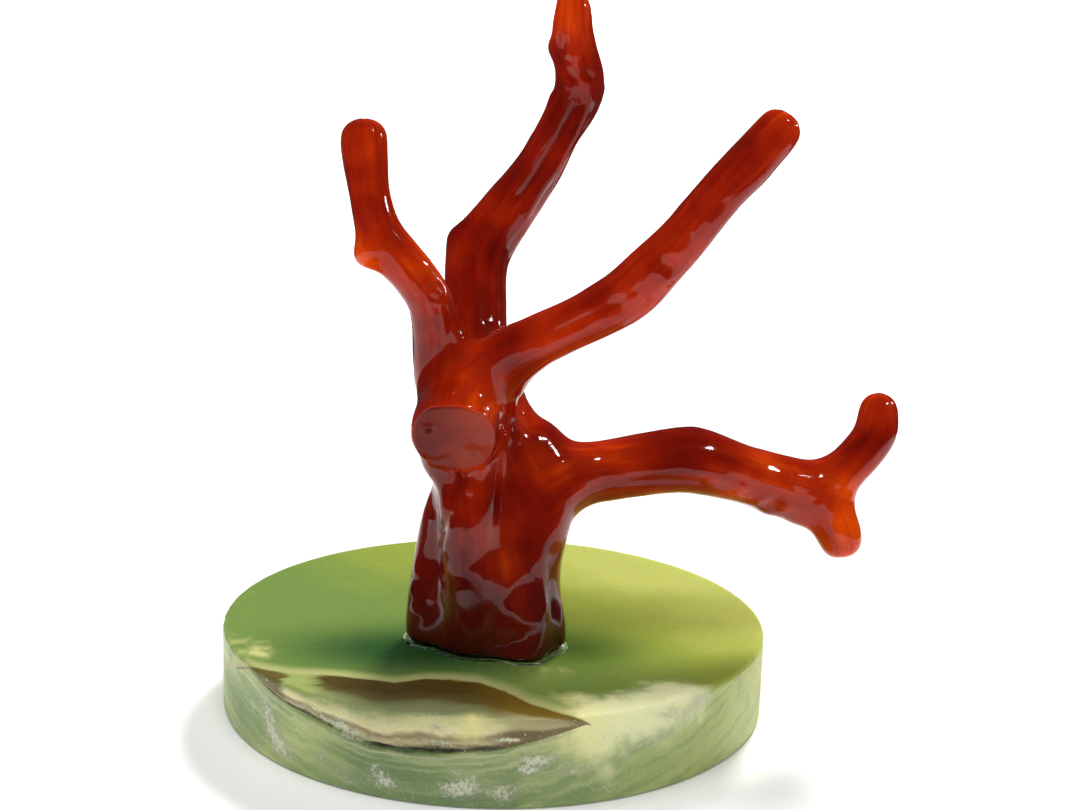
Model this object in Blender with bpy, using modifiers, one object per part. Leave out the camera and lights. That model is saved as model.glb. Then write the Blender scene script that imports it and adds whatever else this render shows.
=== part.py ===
"""A polished branch of red coral, glued upright on a round disc of green onyx.

The coral is grown as one piece, so its skin is made in one go: fluted lobes for the
trunk and a tapering tube for each branch, fused and smoothed. It is then parted at its
main forks, and each length is an object of its own. Units are metres, +Z is up, and
the origin is the middle of the disc's underside.
"""

import math

import bmesh
import bpy
from mathutils import Vector

MM = 0.001

# The onyx disc
BASE_DIAMETER = 80 * MM
BASE_THICKNESS = 12 * MM
BASE_EDGE = 0.5 * MM
BASE_EDGE_STEPS = 2
BASE_SIDES = 96

# The film of glue under the coral, and the gap between two lengths of it
GLUE_LINE = 0.3 * MM
PART_GAP = 0.3 * MM

# The coral's skin
PATH_STEP = 1.5 * MM
TUBE_SIDES_LEVEL = 4
KNOB_SIDES = 20
WELD_DISTANCE = 0.01 * MM
GRAIN_SIZE = 0.5 * MM
FORK_FILLET = 2 * MM
SMOOTH_ROUNDS = 8
SKIN_TRIANGLES = 7400

# Each row is x, y, z and radius in millimetres, from the root to the end.
# The trunk is a bundle of lobes that stand on the disc, in front of its middle.
TRUNK_LOBES = {
    "core": [
        (-1.5, -11, 9, 8.6), (-1.5, -11, 15, 8.4), (-1.3, -10.8, 20, 7.6), (-1.6, -10.6, 32, 7.1),
        (-3.5, -10.5, 42, 7),
    ],
    "front": [
        (-1.5, -15.4, 9, 4.6), (-2.4, -15.4, 17, 4.4), (-3.6, -15.6, 27, 4.2), (-4, -15.2, 38, 4.8),
    ],
    "corner": [
        (3.4, -17, 9, 4.8), (3.6, -16.4, 15, 4.5), (4.8, -13.6, 22, 3.7), (6.4, -10.6, 30, 4.2),
    ],
    "left": [
        (-8.6, -11, 9, 4.2), (-8.9, -10.6, 15, 4.1), (-9, -8.6, 22, 3.2), (-8, -8, 29, 3.1),
        (-6.2, -8.5, 34.5, 3.1), (-5.6, -9.5, 39, 4),
    ],
    "right": [
        (6, -13, 9, 4.2), (6.2, -12.8, 15, 4.1), (5.8, -10.6, 21, 3.6), (6, -9.5, 30, 4.4),
        (7.4, -7.6, 35.4, 5.2), (3.4, -6, 40.8, 4.5),
    ],
    "back": [(0, -8.5, 9, 6.6), (0.5, -7.5, 24, 6), (0.8, -5.5, 35, 6.2), (-0.9, -3, 43.4, 5.9)],
    "crown": [(-4.5, -12, 38, 6.2), (-5.8, -13, 44.5, 6.3), (-4.5, -11.5, 49.5, 5.2)],
    "stub": [(-4.5, -11.5, 47, 5.2), (-5.8, -17, 45, 6.1), (-6.4, -21.4, 43.2, 6)],
}

BRANCHES = {
    "left_branch": [
        (-5, -10.5, 43, 4.6), (-8.4, -9.5, 49, 3.8), (-9.1, -11, 55, 3.5), (-9.8, -13, 61, 3.3),
        (-13.7, -14, 66.3, 3.4), (-16.5, -14, 69.5, 3.3), (-18, -13, 74, 3), (-18.9, -12, 79.5, 3.3),
        (-19.2, -11, 82.7, 3.5),
    ],
    "tall_branch": [
        (-1.5, -4, 44, 5.8), (-3.6, 1.5, 52, 5.2), (-4, 5, 58.5, 4.7), (-3.8, 8, 65, 4.8),
        (0.2, 9, 71.5, 4.1), (4.5, 9, 77.4, 3.8), (7.5, 8, 83.5, 3.5), (9.9, 8, 88, 3.7),
        (10.3, 7, 91, 3.7), (9.3, 6, 95.2, 3.4), (8.8, 5, 99, 3), (8.7, 4.8, 102, 2.5),
    ],
    "upper_right_branch": [
        (-4, -10.5, 45, 5.4), (-1.5, -13, 50, 5), (1.2, -16, 53.9, 4.4), (4.8, -18, 56.6, 3.8),
        (10.9, -19, 59.9, 3.6), (16.3, -20, 63.4, 3.9), (19.5, -21, 67, 3.8), (23.3, -22, 71.4, 3.4),
        (27.8, -22, 77.3, 3.2), (31.4, -21, 81.1, 3.3), (35.3, -20, 85.7, 3.2),
    ],
    "lower_right_branch": [
        (2, -9.5, 30, 7), (6.7, -8, 33.6, 5.9), (11, -6, 35.2, 5), (15.5, -4, 35.6, 4.7),
        (23, -3, 36.7, 4.9), (28.3, -2, 37, 5.1), (37.3, 0, 34.2, 4.5), (45.2, 1, 32.1, 4.6),
        (49, 1.8, 31, 4.1),
    ],
    "upturned_tip": [
        (46, 1.5, 32.4, 4.2), (50.5, 2, 34, 3.6), (54.4, 3, 37.7, 3.4), (56.4, 4, 40.6, 3.4),
        (56.6, 5, 43.8, 3.2),
    ],
    "downturned_tip": [
        (46.5, 1.5, 31.5, 4), (49.5, 1, 28.8, 3.9), (50.8, 0, 26, 3.7), (51.6, -0.2, 24, 3.3),
    ],
}

# How far each end is drawn out past its last row, as a share of its radius: 1 is a half ball.
DOME_RINGS = 4
DOME_REACH = math.radians(84)
TIP_ROUNDNESS = {
    "left_branch": 0.7,
    "tall_branch": 0.9,
    "upper_right_branch": 0.6,
    "upturned_tip": 0.9,
    "downturned_tip": 0.6,
}

# Knuckles, buds and swellings: x, y, z and radius in millimetres.
KNOBS = [
    (-18.2, -15.5, 67.2, 2.3),
    (-17.2, -14.8, 68.2, 2.6),
    (-6.3, 8, 67, 2.6),
    (5.7, 6.6, 95.4, 1.3),
    (11.8, 7.4, 89.6, 2.4),
    (7.4, 4.4, 98.6, 1.7),
    (18.4, -21.6, 64.8, 2.6),
    (28.4, -1.6, 38.6, 3.6),
    (40.4, 0, 30.8, 2.8),
    (44.6, 0.4, 29.4, 2.8),
    (-9.2, -15, 61.6, 2.2),
]

# Where each branch is parted from what carries it: the share of its length from the root.
PARTINGS = {
    "left_branch": 0.31,
    "tall_branch": 0.2,
    "upper_right_branch": 0.26,
    "lower_right_branch": 0.29,
    "upturned_tip": 0.36,
    "downturned_tip": 0.5,
}
SLEEVE_SIDES_LEVEL = 1
SLEEVE_MARGIN = 2.4 * MM
SLEEVE_FLARE = 3 * MM
SLEEVE_RAMP = 7 * MM
# The sleeve of the forked branch opens far enough to hold both of its tips.
FORKED_FLARE = 18 * MM
FORKED_RAMP = 24 * MM

CORAL_COLOUR = (0.42, 0.03, 0.012, 1)
CORAL_ROUGHNESS = 0.15
ONYX_COLOUR = (0.33, 0.45, 0.13, 1)
ONYX_ROUGHNESS = 0.2


def clear_scene():
    for obj in list(bpy.data.objects):
        bpy.data.objects.remove(obj)


def new_collection(name):
    collection = bpy.data.collections.new(name)
    bpy.context.scene.collection.children.link(collection)
    return collection


def polished_material(name, colour, roughness):
    material = bpy.data.materials.new(name)
    material.use_nodes = True
    shader = material.node_tree.nodes["Principled BSDF"]
    shader.inputs["Base Color"].default_value = colour
    shader.inputs["Roughness"].default_value = roughness
    return material


def smooth_path(rows):
    """Points and radii along a Catmull-Rom curve through the rows, about PATH_STEP apart."""
    knots = [(Vector(row[:3]) * MM, row[3] * MM) for row in rows]
    knots = [knots[0], *knots, knots[-1]]
    path = []
    for before, start, end, after in zip(knots, knots[1:], knots[2:], knots[3:]):
        count = max(1, round((end[0] - start[0]).length / PATH_STEP))
        for k in range(count):
            t = k / count
            weights = (
                (-t + 2 * t**2 - t**3) / 2,
                (2 - 5 * t**2 + 3 * t**3) / 2,
                (t + 4 * t**2 - 3 * t**3) / 2,
                (t**3 - t**2) / 2,
            )
            four = (before, start, end, after)
            point = sum((w * knot[0] for w, knot in zip(weights, four)), Vector())
            radius = sum(w * knot[1] for w, knot in zip(weights, four))
            path.append((point, radius))
    path.append(knots[-1])
    return path


def rounded_off(path, roundness):
    """The path with its end drawn out to a dome."""
    end, radius = path[-1]
    onward = (end - path[-2][0]).normalized()
    dome = []
    for k in range(1, DOME_RINGS + 1):
        angle = DOME_REACH * k / DOME_RINGS
        place = end + onward * radius * roundness * math.sin(angle)
        dome.append((place, radius * math.cos(angle)))
    return path + dome


def evaluated_mesh(obj):
    """A copy of the object's mesh with its modifiers carried out."""
    depsgraph = bpy.context.evaluated_depsgraph_get()
    return bpy.data.meshes.new_from_object(obj.evaluated_get(depsgraph))


def tube_mesh(name, path, sides_level=TUBE_SIDES_LEVEL):
    """A closed tube of changing radius along the path."""
    curve = bpy.data.curves.new(name, "CURVE")
    curve.dimensions = "3D"
    curve.bevel_depth = 1
    curve.bevel_resolution = sides_level
    curve.use_fill_caps = True
    spline = curve.splines.new("POLY")
    spline.points.add(len(path) - 1)
    for point, (place, radius) in zip(spline.points, path):
        point.co = (*place, 1)
        point.radius = radius
    holder = bpy.data.objects.new(name, curve)
    bpy.context.scene.collection.objects.link(holder)
    mesh = evaluated_mesh(holder)
    bpy.data.objects.remove(holder)
    work = bmesh.new()
    work.from_mesh(mesh)
    bmesh.ops.remove_doubles(work, verts=work.verts, dist=WELD_DISTANCE)
    bmesh.ops.recalc_face_normals(work, faces=work.faces)
    work.to_mesh(mesh)
    work.free()
    return mesh


def knob_mesh(row):
    *place, radius = row
    mesh = bpy.data.meshes.new("knob")
    work = bmesh.new()
    bmesh.ops.create_uvsphere(
        work, u_segments=KNOB_SIDES, v_segments=KNOB_SIDES // 2, radius=radius * MM
    )
    bmesh.ops.translate(work, verts=work.verts, vec=Vector(place) * MM)
    work.to_mesh(mesh)
    work.free()
    return mesh


def fused_skin(meshes, collection):
    """One smooth closed skin round all the meshes, with soft hollows at the forks."""
    work = bmesh.new()
    for mesh in meshes:
        work.from_mesh(mesh)
    together = bpy.data.meshes.new("coral_skin")
    work.to_mesh(together)
    work.free()
    skin = bpy.data.objects.new("coral_skin", together)
    collection.objects.link(skin)
    # Swelling the skin closes the creases where the tubes meet, and drawing it back in
    # by as much leaves them rounded.
    for name, shift in (("fuse", FORK_FILLET), ("fill", -FORK_FILLET), ("even_out", 0)):
        remesh = skin.modifiers.new(name, "REMESH")
        remesh.mode = "VOXEL"
        remesh.voxel_size = GRAIN_SIZE
        polish = skin.modifiers.new(f"{name}_polish", "SMOOTH")
        polish.factor = 0.5
        polish.iterations = SMOOTH_ROUNDS
        if shift:
            swell = skin.modifiers.new(f"{name}_swell", "DISPLACE")
            swell.mid_level = 0
            swell.strength = shift
    skin.data = evaluated_mesh(skin)
    skin.modifiers.clear()
    thin_out = skin.modifiers.new("thin_out", "DECIMATE")
    skin.data.calc_loop_triangles()
    thin_out.ratio = SKIN_TRIANGLES / len(skin.data.loop_triangles)
    skin.data = evaluated_mesh(skin)
    skin.modifiers.clear()
    return skin


def block(name, low, high, collection):
    mesh = bpy.data.meshes.new(name)
    work = bmesh.new()
    bmesh.ops.create_cube(work, size=1)
    size = Vector(high) - Vector(low)
    bmesh.ops.scale(work, verts=work.verts, vec=size)
    bmesh.ops.translate(work, verts=work.verts, vec=(Vector(low) + Vector(high)) / 2)
    work.to_mesh(mesh)
    work.free()
    obj = bpy.data.objects.new(name, mesh)
    collection.objects.link(obj)
    return as_helper(obj)


def as_helper(obj):
    obj.hide_render = True
    obj.display_type = "WIRE"
    return obj


def along(path, share):
    """The index of the path point at this share of its length, and the path's direction there."""
    lengths = [0.0]
    for (a, _), (b, _) in zip(path, path[1:]):
        lengths.append(lengths[-1] + (b - a).length)
    index = min(range(1, len(path) - 1), key=lambda k: abs(lengths[k] - share * lengths[-1]))
    return index, (path[index + 1][0] - path[index - 1][0]).normalized()


def sleeve(name, path, share, setback, flare, ramp, collection):
    """A loose sleeve round a branch, from setback before its parting to past its tip."""
    index, direction = along(path, share)
    start, radius = path[index]
    walls = [(start - direction * setback, radius + SLEEVE_MARGIN)]
    for place, size in path[index + 1 :]:
        opened = min(1, (place - start).length / ramp)
        walls.append((place, size + SLEEVE_MARGIN + flare * opened))
    end, size = walls[-1]
    onward = (end - path[-2][0]).normalized()
    walls.append((end + onward * flare, size))
    obj = bpy.data.objects.new(name, tube_mesh(name, walls, SLEEVE_SIDES_LEVEL))
    collection.objects.link(obj)
    return as_helper(obj)


def boolean(obj, other, operation):
    modifier = obj.modifiers.new(f"{operation.lower()}_{other.name}", "BOOLEAN")
    modifier.operation = operation
    modifier.object = other
    modifier.solver = "EXACT"


def make_base(collection):
    mesh = bpy.data.meshes.new("onyx_base")
    work = bmesh.new()
    bmesh.ops.create_cone(
        work,
        cap_ends=True,
        segments=BASE_SIDES,
        radius1=BASE_DIAMETER / 2,
        radius2=BASE_DIAMETER / 2,
        depth=BASE_THICKNESS,
    )
    work.to_mesh(mesh)
    work.free()
    base = bpy.data.objects.new("onyx_base", mesh)
    base.location = (0, 0, BASE_THICKNESS / 2)
    bevel = base.modifiers.new("worn_edge", "BEVEL")
    bevel.width = BASE_EDGE
    bevel.segments = BASE_EDGE_STEPS
    collection.objects.link(base)
    mesh.materials.append(polished_material("green_onyx", ONYX_COLOUR, ONYX_ROUGHNESS))
    return base


def branch_paths():
    paths = {name: smooth_path(rows) for name, rows in BRANCHES.items()}
    for name, roundness in TIP_ROUNDNESS.items():
        paths[name] = rounded_off(paths[name], roundness)
    return paths


def make_coral(collection, helpers):
    paths = branch_paths()
    lobes = [tube_mesh(name, smooth_path(rows)) for name, rows in TRUNK_LOBES.items()]
    tubes = [tube_mesh(name, path) for name, path in paths.items()]
    skin = as_helper(fused_skin(lobes + tubes + [knob_mesh(row) for row in KNOBS], helpers))
    reach = BASE_DIAMETER
    foot = BASE_THICKNESS + GLUE_LINE
    below = block("below_foot", (-reach, -reach, -reach), (reach, reach, foot), helpers)
    material = polished_material("red_coral", CORAL_COLOUR, CORAL_ROUGHNESS)
    tips = ("upturned_tip", "downturned_tip")
    outer, inner = {}, {}
    for name, path in paths.items():
        forked = name == "lower_right_branch"
        opening = (FORKED_FLARE, FORKED_RAMP) if forked else (SLEEVE_FLARE, SLEEVE_RAMP)
        outer[name] = sleeve(f"{name}_sleeve", path, PARTINGS[name], 0, *opening, helpers)
        inner[name] = sleeve(f"{name}_gap", path, PARTINGS[name], PART_GAP, *opening, helpers)

    def piece(name):
        obj = bpy.data.objects.new(name, skin.data.copy())
        obj.data.materials.append(material)
        collection.objects.link(obj)
        return obj

    trunk = piece("trunk")
    boolean(trunk, below, "DIFFERENCE")
    for name in paths:
        if name not in tips:
            boolean(trunk, inner[name], "DIFFERENCE")
        branch = piece(name)
        boolean(branch, outer[name], "INTERSECT")
        if name == "lower_right_branch":
            for tip in tips:
                boolean(branch, inner[tip], "DIFFERENCE")


def main():
    clear_scene()
    collection = new_collection("red_coral_branch")
    helpers = new_collection("cutters")
    make_base(collection)
    make_coral(collection, helpers)


main()
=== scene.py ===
"""The look of the red coral branch on its green onyx disc, on a white table.

The coral's seven solids are fused into one grown skin with ridges, dents and scars, the disc is a
finely divided turned solid with its cleft and chips, and a thin bead of clear glue runs round the
foot. Lengths in the tables are millimetres, and the pixels are those of the 1080 x 810 photograph.
"""

import math

import bmesh
import bpy
import numpy as np
from mathutils import Matrix, Vector, noise
from mathutils.bvhtree import BVHTree


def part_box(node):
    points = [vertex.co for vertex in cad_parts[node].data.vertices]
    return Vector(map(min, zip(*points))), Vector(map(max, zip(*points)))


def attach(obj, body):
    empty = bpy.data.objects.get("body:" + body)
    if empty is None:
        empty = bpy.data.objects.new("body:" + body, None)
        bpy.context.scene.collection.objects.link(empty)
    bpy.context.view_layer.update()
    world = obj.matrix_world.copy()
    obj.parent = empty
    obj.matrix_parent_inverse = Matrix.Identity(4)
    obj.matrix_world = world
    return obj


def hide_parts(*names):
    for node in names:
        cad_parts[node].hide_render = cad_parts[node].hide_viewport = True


MM = 0.001
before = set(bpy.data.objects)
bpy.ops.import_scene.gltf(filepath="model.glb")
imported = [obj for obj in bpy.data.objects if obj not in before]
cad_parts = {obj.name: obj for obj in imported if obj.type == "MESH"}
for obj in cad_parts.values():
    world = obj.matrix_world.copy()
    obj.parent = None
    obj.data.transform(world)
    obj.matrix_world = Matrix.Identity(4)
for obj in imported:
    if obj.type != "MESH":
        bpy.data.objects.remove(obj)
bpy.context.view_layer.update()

# The camera

EYE = Vector((0, -222.994, 89.873))
RIGHT = Vector((0.99934, -0.01962, 0.03051))
UP = Vector((-0.02594, 0.20123, 0.97920))
AHEAD = Vector((0.02535, 0.97935, -0.20058))
LENS = 52
SENSOR = 36
PHOTO_WIDTH = 1080
PHOTO_HEIGHT = 810


def make_camera():
    data = bpy.data.cameras.new("camera")
    give(data, {"lens": LENS, "sensor_width": SENSOR, "clip_start": 0.01, "clip_end": 100})
    camera = put("camera", data)
    turn = Matrix((RIGHT, UP, -AHEAD)).transposed().to_4x4()
    camera.matrix_world = Matrix.Translation(EYE * MM) @ turn
    bpy.context.scene.camera = camera


def sight(u, v):
    """The direction in which the camera sees a pixel of the photograph."""
    reach = SENSOR / LENS / PHOTO_WIDTH
    across = (u - PHOTO_WIDTH / 2) * reach
    down = (v - PHOTO_HEIGHT / 2) * reach
    return (AHEAD + RIGHT * across - UP * down).normalized()


# Helpers


def put(name, data):
    """A new object in the scene."""
    made = bpy.data.objects.new(name, data)
    bpy.context.scene.collection.objects.link(made)
    return made


def give(thing, settings):
    for key, value in settings.items():
        setattr(thing, key, value)


class Graph:
    """Adds nodes to a material and links them."""

    def __init__(self, name):
        self.material = bpy.data.materials.new(name)
        self.material.use_nodes = True
        self.tree = self.material.node_tree
        self.tree.nodes.clear()

    def node(self, kind, inputs=None, **settings):
        made = self.tree.nodes.new("ShaderNode" + kind)
        give(made, settings)
        for key, value in (inputs or {}).items():
            if isinstance(value, bpy.types.NodeSocket):
                self.tree.links.new(value, made.inputs[key])
            else:
                made.inputs[key].default_value = value
        return made

    def calc(self, operation, *values, clamp=False):
        made = self.node("Math", dict(enumerate(values)), operation=operation, use_clamp=clamp)
        return made.outputs[0]

    def times(self, *values):
        return self.calc("MULTIPLY", *values)

    def plus(self, *values, clamp=False):
        return self.calc("ADD", *values, clamp=clamp)

    def minus(self, *values):
        return self.calc("SUBTRACT", *values)

    def field(self, name, output="Fac"):
        return self.node("Attribute", attribute_name=name).outputs[output]

    def place(self):
        """The point's own coordinates in millimetres."""
        own = self.node("TexCoord").outputs["Object"]
        return self.stretch(own, (1 / MM, 1 / MM, 1 / MM))

    def stretch(self, vector, scale):
        return self.node("VectorMath", {0: vector, 1: scale}, operation="MULTIPLY").outputs[0]

    def noise(self, vector, scale, detail=2.0, roughness=0.5, distortion=0.0):
        return self.node("TexNoise", {
            "Vector": vector, "Scale": scale, "Detail": detail, "Roughness": roughness,
            "Distortion": distortion,
        }).outputs[0]

    def step(self, value, low, high, out_low=0.0, out_high=1.0):
        """A smooth step from one level to another."""
        made = self.node("MapRange", dict(enumerate((value, low, high, out_low, out_high))),
                         interpolation_type="SMOOTHSTEP")
        return made.outputs[0]

    def ramp(self, value, stops):
        made = self.node("ValToRGB", {"Fac": value})
        marks = made.color_ramp.elements
        for i, (position, colour) in enumerate(stops):
            mark = marks[i] if i < 2 else marks.new(position)
            mark.position, mark.color = position, (*colour, 1)
        return made.outputs["Color"]

    def mix(self, share, low, high):
        made = self.node("Mix", {0: share}, data_type="RGBA")
        for slot, value in ((6, low), (7, high)):
            if isinstance(value, bpy.types.NodeSocket):
                self.tree.links.new(value, made.inputs[slot])
            else:
                made.inputs[slot].default_value = (*value, 1)
        return made.outputs[2]

    def bump(self, height, depth, normal=None):
        """Relief of the given depth in millimetres for a height of 1."""
        inputs = {"Height": height, "Strength": 1.0, "Distance": depth * MM}
        if normal is not None:
            inputs["Normal"] = normal
        return self.node("Bump", inputs).outputs["Normal"]

    def finish(self, inputs):
        """The material, with one shader that has these inputs."""
        shader = self.node("BsdfPrincipled", inputs)
        self.node("OutputMaterial", {"Surface": shader.outputs[0]})
        return self.material


def bumpy(seed, points, size):
    """Soft noise at each point, about -1 to 1, with lumps of the given size."""
    shift = Vector((seed * 13.7, seed * 5.3, seed * 9.1))
    return np.array([noise.noise(Vector(point) / size + shift) for point in points])


def squared_gaps(points, place):
    return ((points - np.array(place)) ** 2).sum(axis=1)


def circle(radius, level, angles):
    return [(radius * math.cos(a), radius * math.sin(a), level) for a in angles]


def full_turn(count):
    return [2 * math.pi * k / count for k in range(count)]


def fan(count):
    """Triangles between the first point and the ring that comes after it."""
    return [(0, 1 + k, 1 + (k + 1) % count) for k in range(count)]


def band(start, other, count):
    """Quads between two rings of points."""
    return [(start + k, other + k, other + (k + 1) % count, start + (k + 1) % count)
            for k in range(count)]


def hoop(start, other, count):
    """Quads between two rings of points, wound the other way."""
    return [(start + k, start + (k + 1) % count, other + (k + 1) % count, other + k)
            for k in range(count)]


def make_object(name, vertices, faces, material):
    """A smooth piece from points in millimetres."""
    mesh = bpy.data.meshes.new(name)
    mesh.from_pydata([tuple(c * MM for c in vertex) for vertex in vertices], [], faces)
    mesh.validate()
    mesh.shade_smooth()
    mesh.materials.append(material)
    return put(name, mesh)


def store(mesh, name, values):
    kind, key = ("FLOAT", "value") if values.ndim == 1 else ("FLOAT_VECTOR", "vector")
    layer = mesh.attributes.new(name, kind, "POINT")
    layer.data.foreach_set(key, values.astype(np.float32).ravel())


def read(elements, key, width, kind=float):
    values = np.empty(len(elements) * width, dtype=kind)
    elements.foreach_get(key, values)
    return values.reshape(-1, width)


def read_points(mesh):
    return read(mesh.vertices, "co", 3) / MM


def write_points(mesh, points):
    mesh.vertices.foreach_set("co", (points * MM).ravel())
    mesh.update()


def relaxed(values, edges, rounds, share=0.5, back=0.0):
    """The values evened out along the edges. A step back after each round keeps the volume."""
    count = len(values)
    ends = np.concatenate((edges[:, 0], edges[:, 1]))
    others = np.concatenate((edges[:, 1], edges[:, 0]))
    degree = np.maximum(np.bincount(ends, minlength=count), 1)
    for _ in range(rounds):
        for step in (share, -back) if back else (share,):
            mean = np.stack(
                [np.bincount(ends, weights=values[others, k], minlength=count) / degree
                 for k in range(values.shape[1])],
                axis=1,
            )
            values = values + step * (mean - values)
    return values


# The coral's skin

# The centre lines of the part's own source, drawn out to the tips: x, y, z and radius
LINES = {
    "trunk": [
        (-1.5, -11, 8, 11), (-1.5, -11, 15, 10.6), (-1.5, -10.6, 24, 9.4), (-1.8, -10.2, 33, 9),
        (-3, -10.2, 40, 9), (-4.2, -10.6, 47, 7.5),
    ],
    "stub": [(-4.5, -11.5, 46, 5.2), (-5.8, -17, 45, 6.1), (-6.4, -23, 43.2, 6)],
    "left_branch": [
        (-5, -10.5, 43, 4.6), (-8.4, -9.5, 49, 3.8), (-9.1, -11, 55, 3.5), (-9.8, -13, 61, 3.3),
        (-13.7, -14, 66.3, 3.4), (-16.5, -14, 69.5, 3.3), (-18, -13, 74, 3),
        (-18.9, -12, 79.5, 3.3), (-19.2, -11, 85, 3.5),
    ],
    "tall_branch": [
        (-1.5, -4, 44, 5.8), (-3.6, 1.5, 52, 5.2), (-4, 5, 58.5, 4.7), (-3.8, 8, 65, 4.8),
        (0.2, 9, 71.5, 4.1), (4.5, 9, 77.4, 3.8), (7.5, 8, 83.5, 3.5), (9.9, 8, 88, 3.7),
        (10.3, 7, 91, 3.7), (9.3, 6, 95.2, 3.4), (8.8, 5, 99, 3), (8.7, 4.8, 104, 2.5),
    ],
    "upper_right_branch": [
        (-4, -10.5, 45, 5.4), (-1.5, -13, 50, 5), (1.2, -16, 53.9, 4.4), (4.8, -18, 56.6, 3.8),
        (10.9, -19, 59.9, 3.6), (16.3, -20, 63.4, 3.9), (19.5, -21, 67, 3.8),
        (23.3, -22, 71.4, 3.4), (27.8, -22, 77.3, 3.2), (31.4, -21, 81.1, 3.3),
        (36.8, -19.6, 87.4, 3.2),
    ],
    "lower_right_branch": [
        (2, -9.5, 30, 7), (6.7, -8, 33.6, 5.9), (11, -6, 35.2, 5), (15.5, -4, 35.6, 4.7),
        (23, -3, 36.7, 4.9), (28.3, -2, 37, 5.1), (37.3, 0, 34.2, 4.5), (45.2, 1, 32.1, 4.6),
        (49, 1.8, 31, 4.1),
    ],
    "upturned_tip": [
        (46, 1.5, 32.4, 4.2), (50.5, 2, 34, 3.6), (54.4, 3, 37.7, 3.4), (56.4, 4, 40.6, 3.4),
        (56.7, 5.2, 46.4, 3.2),
    ],
    "downturned_tip": [
        (46.5, 1.5, 31.5, 4), (49.5, 1, 28.8, 3.9), (50.8, 0, 26, 3.7), (51.8, -0.3, 22.4, 3.3),
    ],
}
# The stub is part of the trunk's node.
CORAL_NODES = [name for name in LINES if name != "stub"]
# The grain channel of each line: never that of the line it grows from, so that the two fade
CHANNEL = dict(zip(LINES, (0, 3, 1, 2, 3, 1, 2, 3)))
# How much warmer each free end is than the branch behind it, and over what length
FREE_ENDS = {
    "left_branch": 0.75, "tall_branch": 0.8, "upper_right_branch": 0.85, "upturned_tip": 0.8,
    "downturned_tip": 1.1,
}
FREE_END_LENGTH = 7
# The height of the long soft ridges that follow each line
RIDGES = dict(zip(LINES, (0.035, 0.04, 0.12, 0.34, 0.15, 0.13, 0.08, 0.08)))
LINE_STEP = 0.5
GRAIN_FADE = 0.7
CHUNK = 4000  # points that are measured against a line at a time

# The skin swells to close the gaps between the solids, and shrinks back after the first grid.
SWELL = 0.45
FIRST_GRID = 0.55
FIRST_SMOOTHING = 8
SKIN_GRID = 0.345
SKIN_SMOOTHING = 3
RELAX_ROUNDS = 14


def sampled(rows, step):
    """Points, radii and distances along a smooth curve through the rows."""
    rows = np.array(rows, dtype=float)
    ends = np.vstack((2 * rows[0] - rows[1], rows, 2 * rows[-1] - rows[-2]))
    found = []
    for i in range(len(rows) - 1):
        a, b, c, d = ends[i:i + 4]
        count = max(2, int(np.linalg.norm(c[:3] - b[:3]) / step))
        for t in np.arange(count) / count:
            found.append(0.5 * (2 * b + (c - a) * t + (2 * a - 5 * b + 4 * c - d) * t**2
                                + (3 * b - a - 3 * c + d) * t**3))
    found.append(rows[-1])
    found = np.array(found)
    along = np.concatenate(([0], np.cumsum(np.linalg.norm(np.diff(found[:, :3], axis=0), axis=1))))
    return found[:, :3], found[:, 3], along


def carried_frames(points):
    """Directions along and across a line, turned as little as possible from point to point."""
    along = np.gradient(points, axis=0)
    along /= np.linalg.norm(along, axis=1)[:, None]
    side = np.cross(along[0], (0.3, 1.0, 0.2))
    sides = []
    for direction in along:
        side = side - direction * (side @ direction)
        side = side / np.linalg.norm(side)
        sides.append(side)
    sides = np.array(sides)
    return along, sides, np.cross(along, sides)


def measure_lines(points):
    """For each line: how far outside its own radius each point is, and its grain coordinates."""
    found = {}
    for name, rows in LINES.items():
        line, radii, lengths = sampled(rows, LINE_STEP)
        ways = carried_frames(line)
        nearest = np.empty(len(points), dtype=np.int64)
        for start in range(0, len(points), CHUNK):
            part = points[start:start + CHUNK]
            gap = ((part[:, None, :] - line[None, :, :]) ** 2).sum(axis=2)
            nearest[start:start + CHUNK] = gap.argmin(axis=1)
        offset = points - line[nearest]
        run, x, y = ((offset * way[nearest]).sum(axis=1) for way in ways)
        out = np.sqrt(x * x + y * y) + 1e-6
        overrun = np.where((nearest == 0) | (nearest == len(line) - 1), np.abs(run), 0)
        nominal = radii.mean()
        found[name] = {
            "outside": np.sqrt(out * out + overrun * overrun) - radii[nearest],
            "grain": np.stack(
                (x / out * nominal, y / out * nominal, lengths[nearest] + run), axis=1),
            "left": lengths[-1] - lengths[nearest] - run,
        }
    return found


def fused_mesh():
    """One closed skin over the seven solids, with the gaps between them grown over."""
    gathered = bmesh.new()
    for name in CORAL_NODES:
        gathered.from_mesh(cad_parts[name].data)
    bmesh.ops.remove_doubles(gathered, verts=gathered.verts, dist=0.01 * MM)
    mesh = bpy.data.meshes.new("coral")
    gathered.to_mesh(mesh)
    gathered.free()
    piece = put("coral", mesh)
    for swell, grid, rounds in (
        (SWELL, FIRST_GRID, FIRST_SMOOTHING), (-SWELL, SKIN_GRID, SKIN_SMOOTHING),
    ):
        for kind, settings in (
            ("DISPLACE", {"mid_level": 0, "strength": swell * MM}),
            ("REMESH", {"mode": "VOXEL", "voxel_size": grid * MM}),
            ("SMOOTH", {"factor": 0.5, "iterations": rounds}),
        ):
            give(piece.modifiers.new(kind.lower(), kind), settings)
    graph = bpy.context.evaluated_depsgraph_get()
    result = bpy.data.meshes.new_from_object(piece.evaluated_get(graph))
    piece.modifiers.clear()
    piece.data = result
    return piece


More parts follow.
